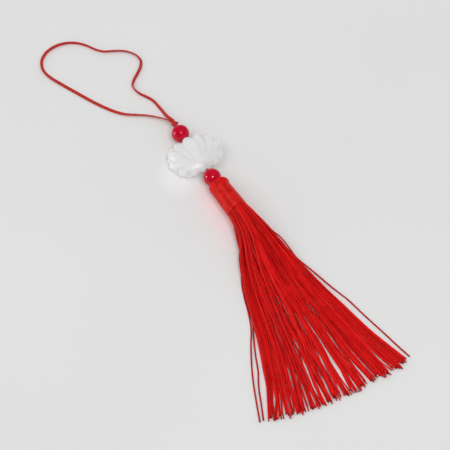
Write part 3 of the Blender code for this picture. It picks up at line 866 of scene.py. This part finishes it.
def strandTargets(look, chance, reach, left, right, spread, heap):
    # Where each strand would lie at each reach if it took no room. The first station is in the head.
    count = look["count"]
    spot = np.arange(count)
    goldenTurn = math.pi * (3 - math.sqrt(5))
    turn = spot * goldenTurn
    out = look["rootRadius"] * ((spot + 0.5) / count) ** 0.38
    rootX, rootZ = out * np.cos(turn), out * np.sin(turn)
    rank = np.argsort(np.argsort(rootX + chance.normal(0.0, look["mixing"], count)))
    tipShare = (2 * rank + 1) / count - 1
    drift = chance.normal(0.0, look["drift"], count) * (chance.random(count) < look["drifting"])
    drift = drift * np.clip(1.3 - tipShare**2, 0.0, 1.0) * np.clip((reach - 30.0) / 60.0, 0.0, 1.0)
    share = (1 - spread) * rootX / look["rootRadius"] + spread * np.clip(tipShare + drift, -1.0, 1.0)
    phase = chance.uniform(0.0, fullTurn, (len(look["waves"]), count))
    wave = sum(height * np.sin(reach / length + start)
               for (length, height), start in zip(look["waves"], phase))
    clump = spread * (0.012 * np.sin(31 * share + 1.1) + 0.008 * np.sin(67 * share + reach / 30))
    clump = clump * np.clip(1 - share**2, 0.0, 1.0)
    targetX = (left + right) / 2 + (share + clump) * (right - left) / 2
    targetX += spread * look["wave"] * wave * np.clip(1.2 - np.abs(share), 0.2, 1.0)
    targetZ = look["radius"] + (rootZ + look["rootRadius"]) * heap
    targetZ[0] = neckPoint[2] + rootZ
    return targetX, targetZ


def tipSlits(look, chance):
    # Short narrow partings at the tips, at random places.
    count = look["slits"]
    return tuple((start, share, look["fan"][-1][0], share + lean, wide) for start, share, lean, wide in zip(
        chance.uniform(*look["slitStart"], count), chance.uniform(-0.95, 0.95, count),
        chance.uniform(-look["slitLean"], look["slitLean"], count), chance.uniform(*look["slitWidth"], count)))


def settleStrands(look, chance):
    fan = np.array(look["fan"])
    reach = np.linspace(0.0, fan[-1, 0], look["stations"])[:, None]
    left, right, spread, heap = (np.interp(reach, fan[:, 0], fan[:, k]) for k in range(1, 5))
    targetX, targetZ = strandTargets(look, chance, reach, left, right, spread, heap)
    x, z = targetX.copy(), targetZ.copy()
    lowest, gap = look["radius"], 2 * look["radius"]
    for sweep in range(look["sweeps"]):
        x[1:] += look["pull"] * (targetX[1:] - x[1:])
        z[1:] += look["pull"] * (targetZ[1:] - z[1:])
        stiffen(x, look["stiffness"])
        stiffen(z, look["stiffness"])
        aside, up, nearest = pushApart(x, z, gap)
        x[1:] += look["pushAside"] * aside
        z[1:] += look["pushUp"] * up
        z = np.maximum(z, lowest)
    x = parted(x, reach, left, right, look["partings"] + tipSlits(look, chance))
    stiffen(x, look["partedStiffness"])
    for sweep in range(look["lastSweeps"]):
        z[1:] += look["lastPull"] * (targetZ[1:] - z[1:])
        stiffen(z, look["lastStiffness"])
        aside, up, nearest = pushApart(x, z, gap)
        x[1:] += look["lastAside"] * aside
        z[1:] += look["pushUp"] * up
        z = np.maximum(z, lowest)
    print("strands closer than their width", round(float((nearest < gap * 0.8).mean()), 3))
    return reach[:, 0], x, z


def strandPaths(look, chance):
    reach, x, z = settleStrands(look, chance)
    neckX, neckY = headLook["neck"]
    paths = []
    fanLeft, fanRight = look["fan"][-1][1:3]
    shares, lengths = zip(*look["lengths"])
    for index in range(look["count"]):
        share = (2 * x[-1, index] - fanLeft - fanRight) / (fanRight - fanLeft)
        uneven = np.clip(chance.normal(0.0, look["uneven"]), look["shortest"], look["longest"])
        own = np.linspace(0.0, np.interp(share, shares, lengths) + uneven, look["points"])
        ownX, ownZ = np.interp(own, reach, x[:, index]), np.interp(own, reach, z[:, index])
        # a strand that goes aside reaches less far down
        aside = (ownX - neckX) * np.minimum(own / look["spreadEnd"], 1.0)
        ownY = neckY - np.sqrt(np.maximum(own**2 - aside**2, 0.0))
        path = np.column_stack([ownX, ownY, ownZ])
        start = neckPoint + look["rootShare"] * (path[:1] - neckPoint) + headUp * look["rootDepth"]
        paths.append(np.vstack([start, path]))
    for stray in look["strays"]:
        path = smoothRoute(stray, look["points"] + 1)
        path[:, 2] = np.maximum(path[:, 2], look["radius"] * look["strayWidth"])
        paths.append(path)
    return paths


def buildTassel(look):
    chance = np.random.default_rng(look["seed"])
    paths = strandPaths(look, chance)
    tones = chance.uniform(0.0, 1.0, len(paths))
    tones[look["count"]:] = 0.0           # the strays lie dark against the floor
    radii = [np.full(len(path), 1.0 if index < look["count"] else look["strayWidth"])
             for index, path in enumerate(paths)]
    strands = sweptTubes("strands", paths, look["radius"], tones, radii)
    strandSilk = silkMaterial("tasselSilk", dict(silkLook, darkEnds=look["darkEnds"]))
    finishPiece(strands, "tassel_strands", strandSilk, "silk", "tassel")
    folds = buildFolds(headLook)
    core = buildCore(headLook)
    foldSilk = silkMaterial("foldSilk", dict(silkLook, pliesAlong=14.0))
    finishPiece(folds, "head_folds", foldSilk, "silk", "tassel")
    coreSilk = silkMaterial("coreSilk", dict(silkLook, pliesRound=60.0, pliesAlong=0.0))
    finishPiece(core, "head_core", coreSilk, "silk", "tassel")


buildTassel(strandLook)
